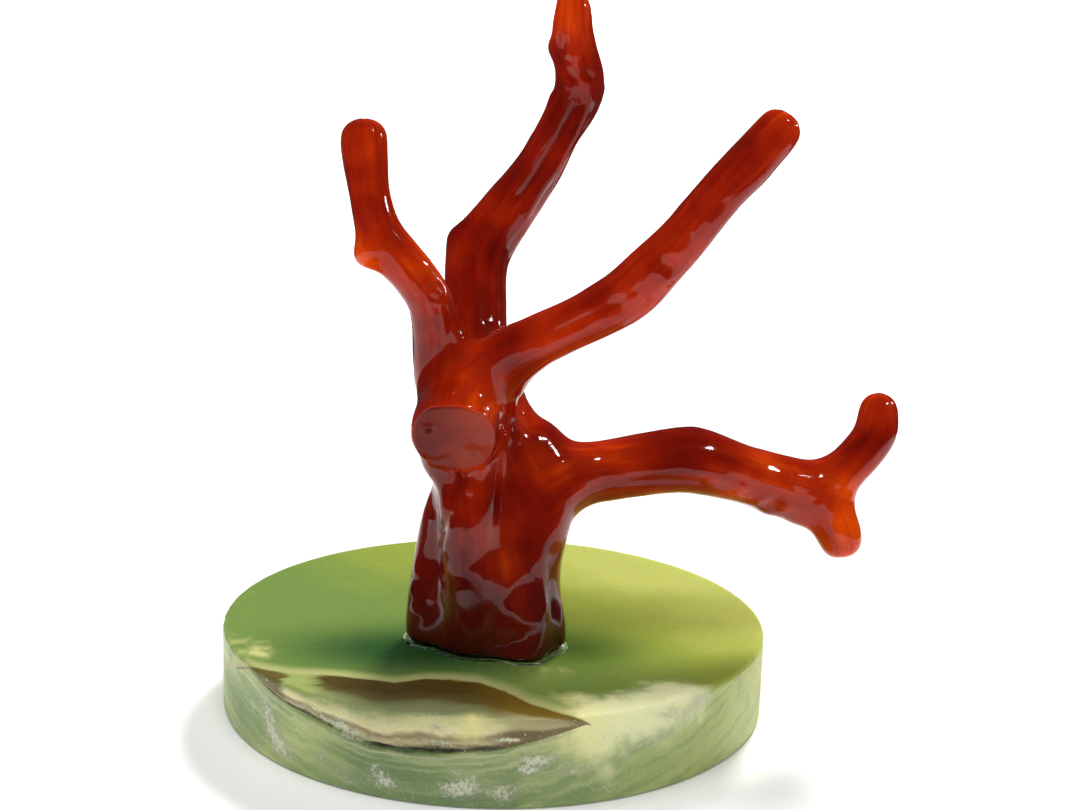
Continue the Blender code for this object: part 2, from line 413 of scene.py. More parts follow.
# Marks on the skin that the photograph shows: pixel, radius in mm, height in mm (a pit is below 0)
DOTS = [
    (369, 249, 1.5, 0.5), (366, 234, 1.3, -0.3),
    (375, 174, 0.8, -0.2), (378, 188, 0.9, -0.14), (376, 181, 0.6, 0.06), (368, 212, 1.2, 0.15),
    (372, 150, 1.2, 0.12), (384, 262, 1.2, -0.15), (410, 283, 1.3, 0.12), (420, 262, 0.8, 0.1),
    (462, 262, 0.8, -0.25), (458, 256, 0.7, 0.1), (470, 250, 1.4, 0.1), (449, 232, 1.5, 0.12),
    (670, 251, 1.1, 0.3), (672, 241, 0.9, -0.3), (655, 271, 0.9, 0.22), (670, 266, 1.1, -0.35),
    (667, 281, 0.8, 0.2), (645, 304, 1.0, -0.28), (615, 305, 1.3, -0.28), (628, 300, 1.0, 0.12),
    (692, 230, 0.5, 0.12), (620, 322, 1.1, 0.1), (720, 205, 1.5, -0.1), (700, 215, 1.5, 0.1),
    (773, 503, 1.3, -0.3), (762, 500, 1.0, 0.16), (787, 508, 1.0, 0.14), (790, 476, 0.5, 0.14),
    (740, 490, 1.3, 0.12), (837, 492, 0.8, -0.16), (850, 497, 0.7, 0.1), (715, 478, 1.3, 0.08),
    (582, 8, 1.2, 0.1), (560, 45, 1.3, -0.2), (590, 30, 1.2, -0.16), (567, 62, 0.9, -0.2),
    (576, 56, 0.8, 0.14), (592, 70, 0.9, 0.16), (585, 88, 0.9, -0.12),
    (455, 345, 1.0, -0.12), (470, 352, 0.8, 0.16), (458, 362, 0.7, -0.12), (465, 348, 0.5, 0.12),
    (461, 475, 0.8, 0.55), (469, 492, 0.9, 0.6), (465, 484, 0.6, -0.1), (468, 505, 0.6, 0.2),
    (445, 548, 1.4, 0.12), (438, 566, 1.2, -0.14), (452, 575, 1.6, 0.12), (462, 590, 1.4, -0.14),
    (473, 560, 1.2, -0.1), (440, 590, 1.5, 0.08), (487, 592, 1.3, 0.1), (455, 622, 2.0, 0.1),
    (500, 634, 2.0, 0.1), (528, 596, 1.2, 0.1), (540, 560, 1.5, 0.08),
    (420, 572, 1.3, 0.26), (413, 592, 1.1, 0.22), (430, 596, 1.2, 0.24), (418, 612, 1.0, 0.2),
    (532, 620, 1.2, 0.2), (545, 610, 1.1, 0.18),
]

# Creases and ridges: pixels along it, half its width in mm, height in mm (a groove is below 0)
STROKES = [
    # the tall branch's long wavy ridges
    ([(587, 82), (590, 100), (577, 130), (560, 162), (540, 190), (527, 212)], 0.7, 0.3),
    ([(572, 75), (575, 105), (557, 140), (535, 175), (521, 196)], 0.8, -0.35),
    ([(552, 96), (548, 125), (530, 160), (512, 190)], 0.8, 0.16),
    ([(500, 205), (490, 240), (492, 280), (489, 320)], 0.8, -0.12),
    ([(478, 262), (476, 290), (478, 320)], 0.6, 0.1),
    ([(560, 50), (563, 66), (572, 80)], 0.5, -0.25),
    ([(590, 44), (583, 60), (588, 78)], 0.5, -0.2),
    # the left branch, from the scar down the seam beside the tall branch
    ([(452, 292), (455, 315), (458, 335), (462, 345)], 0.6, 0.22),
    ([(424, 300), (428, 312), (432, 326)], 0.5, -0.16),
    # the upper right branch's shallow furrows
    ([(540, 342), (570, 326), (600, 312), (640, 290)], 0.8, -0.12),
    ([(560, 322), (600, 296), (640, 262), (680, 222)], 0.7, 0.08),
    # the lower right branch's ripples
    ([(600, 474), (640, 470), (680, 468), (715, 474), (745, 488)], 0.6, 0.12),
    ([(590, 486), (630, 482), (670, 480), (700, 482)], 0.5, -0.1),
    ([(786, 472), (796, 484), (806, 488)], 0.4, 0.16),
    ([(816, 505), (822, 514)], 0.4, 0.2), ([(823, 503), (829, 512)], 0.4, 0.18),
    ([(606, 440), (640, 436), (665, 434)], 0.5, -0.06),
    # the trunk
    ([(514, 400), (517, 420), (521, 440)], 0.5, 0.14),
    ([(520, 398), (526, 416), (530, 430)], 0.5, -0.1),
]
# The trunk's large forms: pixels with the height there, half the width
FORMS = [
    # the long hollow on the right and the full lower lip under it
    ([(514, 450, -0.9), (513, 480, -1.2), (510, 515, -0.9), (507, 545, -0.4)], 2.3),
    ([(476, 562, 0.2), (488, 576, 0.9), (506, 582, 1.3), (522, 571, 1.3), (536, 549, 1.1),
      (550, 524, 0.8), (563, 502, 0.4)], 2.1),
    ([(494, 603, 0.7), (512, 606, 0.8)], 2.2),
    ([(488, 650, -0.5), (500, 648, -1.1), (512, 644, -1.1)], 2.6),
    # the front ridge between the hollow and the recess under the stub
    ([(484, 462, 0.2), (490, 490, 0.3), (484, 520, 0.3), (468, 548, 0.2)], 1.8),
    # the foot draws in on the left, below a soft swelling
    ([(416, 640, -1.2), (440, 655, -0.8), (465, 660, -0.6)], 3.0),
    ([(408, 562, 0.5), (424, 566, 0.9)], 3.0),
    # the grooves on the flanks
    ([(443, 492, -0.4), (446, 515, -0.6), (441, 540, -0.6), (430, 562, -0.3)], 1.3),
    ([(431, 488, 0.2), (433, 520, 0.3), (424, 556, 0.2)], 1.1),
    ([(552, 556, -0.4), (553, 580, -0.5), (550, 606, -0.3)], 1.6),
]
# The recess under the stub: x, y, z, radius and height
RECESSES = [
    (-5, -18.5, 38.2, 3.7, -2.0), (-6.2, -20.2, 37.2, 2.6, -1.6), (-10, -18, 38.0, 2.2, -0.8),
]
# The stub's own small marks, on its flat face
STUB_DOTS = [
    (428, 430, 0.5, -0.5), (480, 444, 1.2, 0.22), (473, 452, 0.8, -0.3), (436, 436, 2.2, -0.1),
]
STUB_STROKES = [([(425, 459), (436, 462), (447, 459)], 0.3, -0.14)]
# Relaxing the skin takes part of the small marks back, so they start this much deeper.
MARK_GAIN = 1.6
# A stroke doesn't join two places that are further apart than this.
STROKE_REACH = 14
# Fine wrinkles that fan out where the lower right branch leaves the trunk, with width and height
FAN = [
    [(540, 470), (552, 452), (560, 446)], [(543, 476), (556, 458), (566, 452)],
    [(546, 482), (560, 466), (572, 458)], [(552, 488), (566, 474), (580, 466)],
    [(536, 466), (546, 448), (552, 440)], [(558, 492), (572, 480), (588, 474)],
]
FAN_WIDTH = 0.28
FAN_HEIGHT = 0.03
# Round scars with a raised middle: pixel, radius, width and depth of the groove round it
EYES = [(437, 291, 1.15, 0.3, 0.26), (381, 120, 1.6, 0.5, 0.05)]
# Spots where light shows through the coral: pixel, radius in mm, strength
GLOW = [
    (361, 252, 4.5, 1.1), (455, 402, 3.2, 0.6), (478, 408, 3.6, 1.2), (490, 412, 3, 1.1),
    (437, 285, 5, 0.7), (420, 268, 4.5, 0.7), (508, 566, 3.4, 1.0), (505, 540, 3.4, 0.5),
    (850, 500, 6, 0.7), (598, 455, 5, 1.0), (468, 485, 3, 0.7), (545, 470, 4, 0.6),
    (720, 445, 5, 0.5), (765, 462, 6, 0.75), (800, 480, 6, 0.6), (845, 530, 5.5, 1.25),
    (560, 325, 6, 0.4), (620, 275, 6, 0.35), (465, 370, 3, 0.5), (530, 425, 3, 0.4),
    (573, 10, 5, 0.8), (820, 470, 5, 0.5), (540, 515, 4.5, 0.35), (535, 640, 3.5, 0.3),
    (560, 468, 3.5, 0.6),
]

# The sawn face of the stub
CUT_POINT = np.array((-6.5, -20.6, 43.0))
CUT_NORMAL = np.array(Vector((-0.06, -0.955, -0.29)).normalized())
CUT_CROWN = 0.06
CUT_EDGE = 0.22
STUB_END = np.array((-6.4, -22, 43.2))
STUB_HALF_WIDTH = 6.3
STUB_HALF_HEIGHT = 4.7
STUB_DEPTH = 6
# The underside of the foot lies under this height, and its relief turns level over this much.
FOOT_TOP = 13.6
FOOT_FADE = 1.2


def grown_details(piece):
    """Moves the skin's points for the relief, and stores what the material needs."""
    mesh = piece.data
    edges = read(mesh.edges, "vertices", 2, np.int64)
    points = relaxed(read_points(mesh), edges, RELAX_ROUNDS, 0.5, 0.51)
    write_points(mesh, points)

    def on_stub(points):
        """1 on the stub's end, falling to 0 round it."""
        offset = points - STUB_END
        ahead = offset @ CUT_NORMAL
        across = offset - np.outer(ahead, CUT_NORMAL)
        reach = np.hypot(across[:, 0] / STUB_HALF_WIDTH,
                         np.linalg.norm(across[:, 1:], axis=1) / STUB_HALF_HEIGHT)
        return np.clip((1.12 - reach) / 0.12, 0, 1) * (np.abs(ahead) < STUB_DEPTH)

    def sawn_off(points):
        """The points with the stub's end cut flat, and how far each lies on the cut."""
        near = on_stub(points)
        beyond = (points - CUT_POINT) @ CUT_NORMAL
        excess = near * np.logaddexp(0, beyond / CUT_EDGE) * CUT_EDGE
        points = points - np.outer(excess * (1 - CUT_CROWN), CUT_NORMAL)
        level = (points - CUT_POINT) @ CUT_NORMAL
        return points, near * np.clip((level + 0.35) / 0.2, 0, 1)

    points, face = sawn_off(points)
    write_points(mesh, points)

    tree = BVHTree.FromPolygons(
        [Vector(p) for p in points], [tuple(f.vertices) for f in mesh.polygons]
    )

    def hit(u, v):
        place, _, _, _ = tree.ray_cast(EYE, sight(u, v))
        return None if place is None else np.array(place)

    def gaps(u, v):
        """How far each point is from what the camera sees at a pixel, squared."""
        place = hit(u, v)
        return np.inf if place is None else squared_gaps(points, place)

    lines = measure_lines(points)
    names = list(LINES)
    outside = np.stack([lines[name]["outside"] for name in names], axis=1)
    shares = np.exp(-(outside - outside.min(axis=1, keepdims=True)) / GRAIN_FADE)
    shares /= shares.sum(axis=1, keepdims=True)
    by_name = {name: shares[:, i] for i, name in enumerate(names)}

    # long soft ridges that follow each line
    lift = np.zeros(len(points))
    for seed, name in enumerate(names):
        grain = lines[name]["grain"] * (1, 1, 0.22)
        chosen = by_name[name] > 0.02
        ridges = np.zeros(len(points))
        ridges[chosen] = bumpy(seed + 1, grain[chosen], 2.6)
        ridges[chosen] += 0.5 * bumpy(seed + 11, grain[chosen], 1.3)
        if name == "tall_branch":
            ridges *= np.clip((56 - lines[name]["left"]) / 16, 0.25, 1)
        lift += by_name[name] * RIDGES[name] * ridges
    calm = 1 - 0.65 * by_name["trunk"]
    lift += calm * (0.16 * bumpy(31, points, 7.5) + 0.05 * bumpy(32, points, 2.8))

    def dots(table, gain):
        total = np.zeros(len(points))
        for u, v, radius, height in table:
            total += gain * height * np.exp(-gaps(u, v) / radius**2)
        return total

    def stroke(row, width):
        """Relief along a row of pixels, each with its height."""
        found = [(hit(u, v), height) for u, v, height in row]
        found = [(place, height) for place, height in found if place is not None]
        gap, lifted = np.full(len(points), np.inf), np.zeros(len(points))
        for (a, start), (b, end) in zip(found, found[1:]):
            span = b - a
            if np.linalg.norm(span) > STROKE_REACH:
                continue
            share = np.clip(((points - a) @ span) / (span @ span), 0, 1)
            apart = squared_gaps(points - a, share[:, None] * span)
            closer = apart < gap
            gap[closer] = apart[closer]
            lifted[closer] = (start + share * (end - start))[closer]
        return lifted * np.exp(-gap / width**2)

    def strokes(table, gain):
        return sum(stroke([(u, v, gain * height) for u, v in row], width)
                   for row, width, height in table)

    lift += dots(DOTS, MARK_GAIN)
    lift += strokes(STROKES, MARK_GAIN) + strokes([(row, FAN_WIDTH, FAN_HEIGHT) for row in FAN], 1)
    forms = sum(stroke(row, width) for row, width in FORMS)
    for *centre, radius, height in RECESSES:
        forms += height * np.exp(-squared_gaps(points, centre) / radius**2)
    lift += (1 - by_name["stub"] * on_stub(points)) * forms
    for u, v, radius, width, height in EYES:
        gap = np.sqrt(gaps(u, v))
        lift += MARK_GAIN * height * (0.35 * np.exp(-(gap / (radius * 0.8)) ** 2)
                                      - np.exp(-((gap - radius) / width) ** 2))
    lift *= 1 - face
    # the underside of the foot stays flat on its glue
    heading = read(mesh.vertex_normals, "vector", 3)
    low = np.clip((FOOT_TOP - points[:, 2]) / FOOT_FADE, 0, 1)
    level_out = np.hypot(heading[:, 0], heading[:, 1])
    heading[:, :2] *= (1 - low + low / np.maximum(level_out, 0.4))[:, None]
    heading[:, 2] *= 1 - low
    stub_marks = dots(STUB_DOTS, MARK_GAIN) + strokes(STUB_STROKES, MARK_GAIN)
    points = points + heading * lift[:, None]
    points, face = sawn_off(points)
    points = points + read(mesh.vertex_normals, "vector", 3) * stub_marks[:, None]
    points = relaxed(points, edges, 1, 0.35)
    write_points(mesh, points)

    # what the material reads
    warm = np.zeros(len(points))
    for name, amount in FREE_ENDS.items():
        left = np.maximum(lines[name]["left"], 0)
        fall = np.exp(-((left / FREE_END_LENGTH) ** 1.6))
        warm = np.maximum(warm, amount * by_name[name] * fall)
    for u, v, radius, amount in GLOW:
        warm = np.maximum(warm, amount * np.exp(-gaps(u, v) / radius**2))
    # painted shade and a painted dark reflection of the stone: the trunk is darker towards the
    # foot
    painted_foot_shade = by_name["trunk"] * np.clip((32 - points[:, 2]) / 18, 0, 1)

    for channel in range(4):
        members = [name for name in names if CHANNEL[name] == channel]
        share = np.zeros(len(points))
        grain = np.zeros((len(points), 3))
        best = np.full(len(points), -1.0)
        for name in members:
            share += by_name[name]
            better = by_name[name] > best
            grain[better] = lines[name]["grain"][better]
            best[better] = by_name[name][better]
        store(mesh, f"grain_{channel}", grain)
        store(mesh, f"share_{channel}", share)
    store(mesh, "warm", np.clip(warm, 0, 1.2))
    store(mesh, "painted_foot_shade", painted_foot_shade)
    store(mesh, "sawn", face)


def coral_material():
    g = Graph("polished_red_coral")
    place = g.place()
    # fine growth lines along each branch, faded into each other where branches meet
    fine, broad = [], []
    for channel in range(4):
        grain = g.field(f"grain_{channel}", "Vector")
        share = g.field(f"share_{channel}")
        lines = g.noise(g.stretch(grain, (1, 1, 0.07)), 2.1, 3, 0.55)
        bands = g.noise(g.stretch(grain, (1, 1, 0.14)), 0.55, 2, 0.5)
        fine.append(g.times(lines, share))
        broad.append(g.times(bands, share))

    def total(parts):
        found = parts[0]
        for part in parts[1:]:
            found = g.plus(found, part)
        return found

    fine, broad = total(fine), total(broad)
    warm, painted_foot_shade, sawn = map(g.field, ("warm", "painted_foot_shade", "sawn"))
    clouds = g.noise(place, 0.11, 3, 0.5)
    tone = g.times(g.minus(clouds, 0.5), 1.1)
    streaks = g.plus(g.times(g.minus(broad, 0.5), 0.5), g.times(g.minus(fine, 0.5), 0.28))
    tone = g.plus(tone, g.times(streaks, g.minus(1.0, sawn)))
    tone = g.plus(tone, g.times(warm, 0.5))
    tone = g.plus(tone, 0.25, clamp=True)
    colour = g.ramp(tone, [
        (0.0, (0.12, 0.003, 0.0012)), (0.3, (0.27, 0.008, 0.0012)), (0.6, (0.47, 0.024, 0.0015)),
        (1.0, (0.96, 0.10, 0.002)),
    ])
    # painted shade and reflection of the stone, darkening the trunk towards the foot
    colour = g.mix(g.times(painted_foot_shade, 0.8), colour, (0.05, 0.005, 0.004))
    # small paler flecks in the skeleton, and the dull saw cut, whose pink is partly its own and
    # partly painted reflection
    flecks = g.step(g.noise(place, 1.3, 4, 0.6), 0.66, 0.74)
    colour = g.mix(g.times(flecks, 0.25), colour, (0.62, 0.09, 0.03))
    # the cut turns lighter towards the right: partly painted reflection, partly its own uneven
    # colour
    across = g.node("SeparateXYZ", {0: place}).outputs[0]
    painted_cut_sheen = g.step(g.plus(across, g.times(g.noise(place, 0.3, 3, 0.5), 8)), -6.5, 2.5)
    dull = g.mix(painted_cut_sheen, (0.13, 0.011, 0.008), (0.34, 0.038, 0.014))
    colour = g.mix(g.times(sawn, 0.78), colour, dull)
    polish = g.noise(place, 0.35, 4, 0.6)
    gloss = g.step(polish, 0.3, 0.75, 0.05, 0.13)
    gloss = g.plus(gloss, g.times(sawn, 0.22))
    normal = g.bump(g.times(fine, g.minus(1.0, sawn)), 0.02)
    normal = g.bump(g.noise(place, 1.1, 3, 0.5), 0.012, normal)
    return g.finish({
        "Base Color": colour, "Roughness": gloss, "IOR": 1.5, "Normal": normal,
        "Specular IOR Level": 0.3, "Subsurface Weight": 0.4,
        "Subsurface Radius": (1.0, 0.16, 0.05), "Subsurface Scale": 2.5 * MM,
    })


def make_coral():
    piece = fused_mesh()
    grown_details(piece)
    piece.data.shade_smooth()
    piece.data.materials.clear()
    piece.data.materials.append(coral_material())
    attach(piece, "root")
    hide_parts(*CORAL_NODES)
    return piece


# The onyx disc

# The cream line on the top: x and y. In front of it is the brown-veined wedge.
CREAM_LINE = [
    (-42, -17), (-36, -20.6), (-34.4, -21.8), (-30.7, -23.8), (-27.2, -25.1), (-21.2, -25.5),
    (-16.4, -26.6), (-13, -27.5), (-9.1, -25.9), (-5.8, -26), (-1.8, -26.9), (1.6, -29.8),
    (4.8, -33.7), (8, -36.2), (11.7, -38.5), (16, -41.5), (42, -60),
]
# The cleft on the wall under it: x and height
CLEFT_LINE = [
    (-42, 15), (-34.6, 12), (-29, 9.8), (-22.9, 8.5), (-18.8, 7.6), (-15.5, 7.0), (-6.5, 7.3),
    (1.1, 8.2), (6, 9.4), (12.1, 11), (16.4, 12.3), (24.4, 15), (31, 18), (42, 24),
]
# How much further a step down the wall counts than a step across the top
WALL_RUN = 1.5
RIM_ROUND = 0.6
# The arc in degrees that faces the camera, which is divided more finely than the rest
FINE_ARC = (-152, -38)
FINE_COLUMNS = 300
PLAIN_COLUMNS = 220
TOP_RINGS = 44
WALL_ROWS = 44

# Chalky white crumbs on the wall and the top: pixel, radius across and up in mm, strength
CHALK = [
    (262, 700, 2.2, 2.0, 0.7), (270, 725, 1.8, 2.6, 1.0), (280, 745, 1.8, 1.8, 0.9),
    (292, 755, 2.4, 1.0, 0.6), (335, 722, 3.0, 0.9, 1.0), (352, 735, 3.0, 0.8, 1.0),
    (305, 705, 2.6, 0.8, 0.7), (345, 776, 2.6, 1.4, 0.7), (385, 782, 2.6, 1.2, 1.0),
    (375, 768, 1.6, 1.0, 0.7), (320, 757, 2.4, 1.4, 0.6), (400, 752, 2.4, 0.6, 0.7),
    (440, 742, 2.6, 0.5, 0.8), (455, 790, 3.0, 1.4, 1.0), (470, 780, 1.6, 1.6, 0.7),
    (540, 760, 3.0, 1.2, 1.0), (527, 770, 1.6, 1.0, 0.8), (502, 740, 1.5, 0.3, 1.0),
    (515, 740, 1.3, 0.3, 1.0), (552, 739, 1.6, 0.3, 0.9), (590, 765, 3.5, 0.8, 0.6),
    (640, 745, 4.0, 0.8, 0.6), (680, 720, 4.0, 1.0, 0.6), (700, 700, 2.6, 1.4, 0.9),
    (665, 735, 3.0, 0.7, 0.6), (740, 685, 1.0, 2.6, 0.8), (720, 705, 2.4, 1.0, 0.5),
    (470, 672, 1.6, 0.8, 0.3), (565, 660, 3.0, 2.0, 0.5), (430, 714, 2.4, 0.8, 0.8),
    (245, 710, 0.8, 1.6, 0.5), (600, 705, 5.0, 2.4, 0.25), (503, 793, 2.2, 1.8, 1.0),
    (436, 727, 1.6, 0.6, 0.8), (748, 697, 0.8, 1.6, 0.8), (668, 712, 3.0, 0.8, 0.7),
    (565, 775, 3.5, 1.0, 0.5),
]
# Pale cream cloud where the wedge ends: pixel, radius in mm, strength
CREAM = [
    (605, 722, 5.5, 1.0), (632, 710, 5.5, 0.95), (660, 702, 5.5, 1.0), (690, 694, 4.5, 0.8),
    (578, 700, 4.5, 0.55), (560, 740, 4.5, 0.45), (620, 740, 4.5, 0.5), (585, 735, 4.0, 0.6),
    (675, 694, 5.0, 0.95), (640, 716, 5.0, 0.9), (312, 686, 4.0, 0.12), (255, 650, 4.5, 0.5),
    (540, 672, 5.5, 0.3), (235, 640, 4, 0.4), (600, 765, 4.0, 0.5), (470, 731, 3.5, 0.5),
]
# Where the trunk stands, for the shade that it throws into the stone
SHADE_CENTRE = (-4.0, -17.0)
CHIP_DEPTH = 0.75
WEAR_DEPTH = 0.22


def along(points, x):
    """The second value of a table at each x."""
    table = np.array(points, dtype=float)
    return np.interp(x, table[:, 0], table[:, 1])


def make_onyx():
    low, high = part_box("onyx_base")
    radius = (high.x - low.x) / 2 / MM
    height = (high.z - low.z) / MM
    fine = np.linspace(*FINE_ARC, FINE_COLUMNS, endpoint=False)
    plain = np.linspace(FINE_ARC[1], FINE_ARC[0] + 360, PLAIN_COLUMNS, endpoint=False)
    turn = np.radians(np.concatenate((fine, plain)))
    rows = [(radius * (i / TOP_RINGS) * 0.985, height) for i in range(1, TOP_RINGS + 1)]
    for i in range(1, 6):
        bend = math.radians(90 * i / 5)
        rows.append((radius - RIM_ROUND + RIM_ROUND * math.sin(bend),
                     height - RIM_ROUND + RIM_ROUND * math.cos(bend)))
    rows += [(radius, height - RIM_ROUND - (height - 2 * RIM_ROUND) * i / WALL_ROWS)
             for i in range(1, WALL_ROWS + 1)]
    for i in range(1, 4):
        bend = math.radians(90 * i / 3)
        rows.append((radius - RIM_ROUND + RIM_ROUND * math.cos(bend),
                     RIM_ROUND - RIM_ROUND * math.sin(bend)))
    rows += [(radius * share, 0) for share in (0.75, 0.5, 0.25)]
    columns = len(turn)
    vertices = [(0, 0, height)]
    for r, z in rows:
        vertices += circle(r, z, turn)
    vertices.append((0, 0, 0))
    faces = fan(columns)
    for i in range(len(rows) - 1):
        faces += band(1 + i * columns, 1 + (i + 1) * columns, columns)
    last = 1 + (len(rows) - 1) * columns
    end = len(vertices) - 1
    faces += [(last + k, end, last + (k + 1) % columns) for k in range(columns)]
    piece = make_object("onyx_disc", vertices, faces, onyx_material())
    mesh = piece.data
    points = read_points(mesh)
    x, y, z = points.T
    reach = np.sqrt(x * x + y * y) + 1e-6

    # where each point lies between the cream line and the cleft
    rim = -np.sqrt(np.maximum(radius**2 - x * x, 0))
    from_cream = along(CREAM_LINE, x) - y + WALL_RUN * (height - z)
    to_cleft = along(CREAM_LINE, x) - rim + WALL_RUN * (height - along(CLEFT_LINE, x))
    front = y < 0
    wedge = np.where(front, from_cream / np.maximum(to_cleft, 1.0), -1)
    cream_gap = np.where(front, from_cream, -20)
    under = np.where(front, along(CLEFT_LINE, x), 14.2 + 8.7 * (x + radius) / (2 * radius)) - z

    # the cleft, its chipped lips and the worn rim, cut into the wall
    ragged = bumpy(51, points, 1.7) + 0.6 * bumpy(52, points, 0.8)
    wall = np.clip((reach - radius * 0.97) / (radius * 0.02), 0, 1)
    span = np.clip((x + 27) / 5, 0, 1) * np.clip((-1 - x) / 6, 0, 1)
    level = under + 0.35 * bumpy(53, points, 2.2)
    cleft = np.exp(-(level / 0.38) ** 2) * span
    lip = np.exp(-((level + 1.1) / 0.9) ** 2) * span
    cut = wall * front * (CHIP_DEPTH * cleft + WEAR_DEPTH * lip * (0.5 + ragged)
                          + 0.1 * np.clip(ragged - 0.35, 0, 1) * np.exp(-(under / 5) ** 2))
    edge = np.exp(-((height - z) / 0.9) ** 2) * wall
    worn = WEAR_DEPTH * np.clip(ragged + 0.1, 0, 1.2) * edge * np.where(front & (x < 22), 1, 0.25)
    cut = np.maximum(cut + worn, 0)
    points[:, 0] -= x / reach * cut
    points[:, 1] -= y / reach * cut
    points[:, 2] -= 0.5 * worn
    write_points(mesh, points)

    def hit(u, v):
        """Where the camera sees the disc at a pixel: its top, or else its wall."""
        ray = sight(u, v)
        t = (height - EYE.z) / ray.z
        spot = EYE + ray * t
        if math.hypot(spot.x, spot.y) > radius:
            a = ray.x**2 + ray.y**2
            b = 2 * (EYE.x * ray.x + EYE.y * ray.y)
            c = EYE.x**2 + EYE.y**2 - radius**2
            t = (-b - math.sqrt(max(b * b - 4 * a * c, 0))) / (2 * a)
            spot = EYE + ray * t
        return spot

    chalk = np.zeros(len(points))
    for u, v, across, up, strength in CHALK:
        spot = hit(u, v)
        way = math.atan2(spot.y, spot.x)
        sideways = -x * math.sin(way) + y * math.cos(way)
        inward = radius - (x * math.cos(way) + y * math.sin(way))
        fall = (height - z) - inward
        spot_fall = (height - spot.z) - (radius - math.hypot(spot.x, spot.y))
        gap = (sideways / across) ** 2 + ((fall - spot_fall) / up) ** 2
        chalk += strength * np.exp(-gap) * (inward < 12)
    cream = np.zeros(len(points))
    for u, v, size, strength in CREAM:
        cream = np.maximum(cream, strength * np.exp(-squared_gaps(points, hit(u, v)) / size**2))
    # painted shade: the green deepens where the trunk keeps the light out. It is yellowest at the
    # back right, partly the stone's own tone and partly painted light from behind
    right, back = (points[:, :2] - np.array(SHADE_CENTRE)).T
    painted_trunk_shade = np.exp(-(((right + 7) / 18) ** 2 + ((back - 1) / 9.5) ** 2) ** 1.3)
    painted_trunk_shade = np.maximum(painted_trunk_shade, 0.95 * np.exp(-(((right - 15) / 10) ** 2 + ((back - 3) / 8.5) ** 2)))
    outer = np.clip((reach - radius * 0.985) / 0.4, 0, 1)
    for name, values in (
        ("wedge", wedge), ("cream_gap", cream_gap), ("under", under),
        ("chalk", np.clip(chalk, 0, 1.5)), ("cream", np.clip(cream, 0, 1)), ("painted_trunk_shade", painted_trunk_shade),
        ("painted_light_and_tone", np.clip((x * 0.75 + y * 0.65 + 16) / 48, 0, 1)),
        ("wall", outer * np.clip(height + 0.1 - z, 0, 1)),
    ):
        store(mesh, name, values)
    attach(piece, "root")
    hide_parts("onyx_base")


